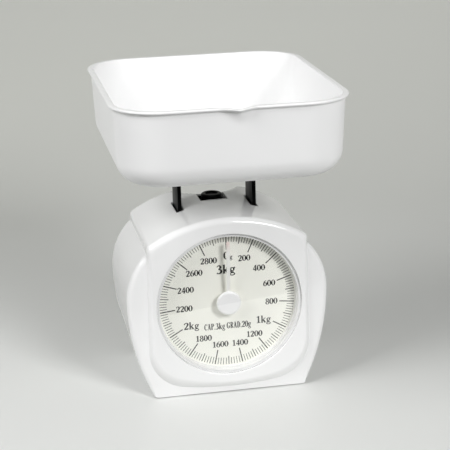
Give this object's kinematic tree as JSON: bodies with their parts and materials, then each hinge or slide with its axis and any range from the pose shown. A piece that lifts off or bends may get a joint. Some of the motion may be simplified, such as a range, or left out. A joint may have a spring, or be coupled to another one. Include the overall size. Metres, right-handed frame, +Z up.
{
  "type": "analogue kitchen scale",
  "caption": "White spring kitchen scale: round dial in the front, zero knob on top, and a deep removable rectangular bowl with a pouring lip on two flat black uprights.",
  "frame": {"origin": "on the table under the middle of the case and bowl", "axes": "+X to the right as seen from the front, -Y the way the dial faces, +Z up"},
  "size_m": [0.1654, 0.2022, 0.2248],
  "materials": {
    "case_white": "glossy white, moulded",
    "bowl_white": "satin white, moulded",
    "upright_black": "satin black, moulded",
    "support_white": "satin white, moulded",
    "knob_black": "satin black, moulded",
    "seat_black": "matt black, moulded",
    "lens_clear": "clear, polished",
    "dial_cream": "printed card",
    "inner_plastic": "natural, moulded",
    "pointer_white": "glossy white, moulded",
    "needle_white": "painted white, tip faint pink",
    "chassis_steel": "zinc-plated sheet",
    "bright_steel": "bright plated",
    "spring_steel": "drawn wire",
    "brass": "turned",
    "rack_acetal": "natural acetal",
    "foot_rubber": "matt"
  },
  "bodies": {
    "root": {"body_shell": "case_white", "rear_cover": "case_white", "cover_screws": "bright_steel", "foot_front_left": "foot_rubber", "foot_front_right": "foot_rubber", "foot_rear_left": "foot_rubber", "foot_rear_right": "foot_rubber", "dial_lens": "lens_clear", "dial_card": "dial_cream", "dial_plate": "inner_plastic", "front_bush": "brass", "rear_bush": "brass", "chassis_plate": "chassis_steel", "chassis_screws": "bright_steel", "knob_seat": "seat_black", "upper_link_shaft": "bright_steel", "lower_link_shaft": "bright_steel", "left_spring": "spring_steel", "right_spring": "spring_steel"},
    "carriage": {"carriage_frame": "inner_plastic", "link_pins": "bright_steel", "left_upright": "upright_black", "right_upright": "upright_black", "upright_screws": "bright_steel", "bowl_support": "support_white", "rack": "rack_acetal", "rack_screw": "bright_steel"},
    "pointer": {"pointer_shaft": "bright_steel", "pinion": "brass", "pointer_hub": "pointer_white", "pointer_needle": "needle_white"},
    "upper_link": {"upper_link": "inner_plastic"},
    "lower_link": {"lower_link": "inner_plastic"},
    "zero_knob": {"zero_knob": "knob_black", "zero_screw": "bright_steel"},
    "spring_hanger": {"spring_hanger": "chassis_steel"},
    "bowl": {"bowl": "bowl_white"}
  },
  "joints": [
    {"name": "platform_slide", "type": "slide", "parent": "root", "child": "carriage", "axis": [0, 0, 1], "range_m": [-0.01256, 0], "stiffness_N_per_m": 2342, "springref_m": 0.0016, "deforming": ["left_spring", "right_spring"]},
    {"name": "pointer_spin", "type": "hinge", "parent": "root", "child": "pointer", "pos_m": [0, -0.028, 0.0691], "axis": [0, 1, 0], "range_deg": [0, 360]},
    {"name": "upper_link_swing", "type": "hinge", "parent": "root", "child": "upper_link", "pos_m": [0, -0.014, 0.1072], "axis": [1, 0, 0], "range_deg": [-23.4, 0]},
    {"name": "lower_link_swing", "type": "hinge", "parent": "root", "child": "lower_link", "pos_m": [0, -0.014, 0.0452], "axis": [1, 0, 0], "range_deg": [-23.4, 0]},
    {"name": "zero_knob_turn", "type": "hinge", "parent": "root", "child": "zero_knob", "pos_m": [0, 0.0163, 0.1272], "axis": [0, 0, 1], "range_deg": [-720, 720]},
    {"name": "hanger_slide", "type": "slide", "parent": "root", "child": "spring_hanger", "axis": [0, 0, 1], "range_m": [-0.0014, 0.0014]},
    {"name": "bowl_lift", "type": "slide", "parent": "carriage", "child": "bowl", "axis": [0, 0, 1], "range_m": [0, 0.12]}
  ],
  "couplings": [
    {"joint": "pointer_spin", "follows": "platform_slide", "rad_per_m": -500},
    {"joint": "upper_link_swing", "follows": "platform_slide", "rad_per_m": 32.483},
    {"joint": "lower_link_swing", "follows": "platform_slide", "rad_per_m": 32.483},
    {"joint": "zero_knob_turn", "follows": "hanger_slide", "rad_per_m": -8976}
  ]
}
